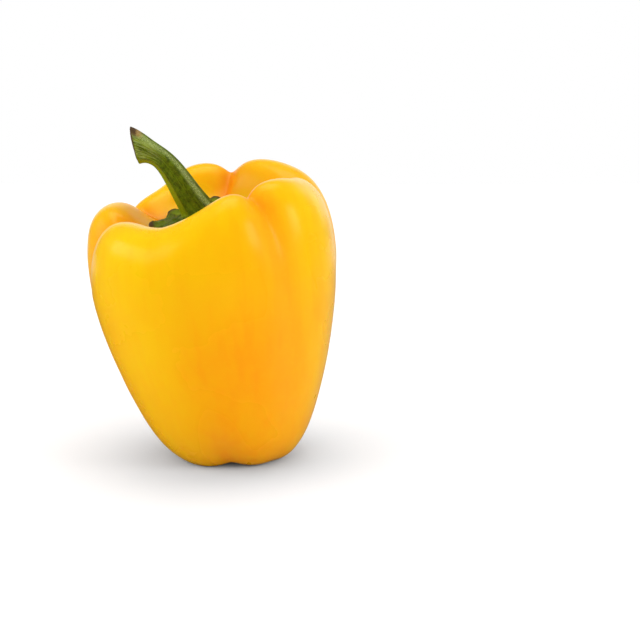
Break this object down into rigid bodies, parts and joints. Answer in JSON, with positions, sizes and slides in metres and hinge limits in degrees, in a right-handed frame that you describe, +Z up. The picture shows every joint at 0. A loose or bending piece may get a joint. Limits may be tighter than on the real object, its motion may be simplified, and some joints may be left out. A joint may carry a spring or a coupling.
{
  "type": "bell pepper",
  "caption": "Blocky bell pepper with soft lobes and furrows, a sunken top, and a green calyx and curved cut stem; rests upright on its base lobes.",
  "frame": {"origin": "on the ground under the middle of the pepper's box", "axes": "+Z up through the stem basin, -Y towards the viewer of the picture, +X to the right of the picture; the stem's cut end points to -X"},
  "size_m": [0.0868, 0.0872, 0.1166],
  "materials": {
    "skin": "smooth waxy glossy skin, yellow with orange in the furrows",
    "green_stem": "satin ribbed green, brown at the cut and at the calyx tips"
  },
  "bodies": {
    "root": {"fruit": "skin", "stem_and_calyx": "green_stem"}
  },
  "joints": []
}
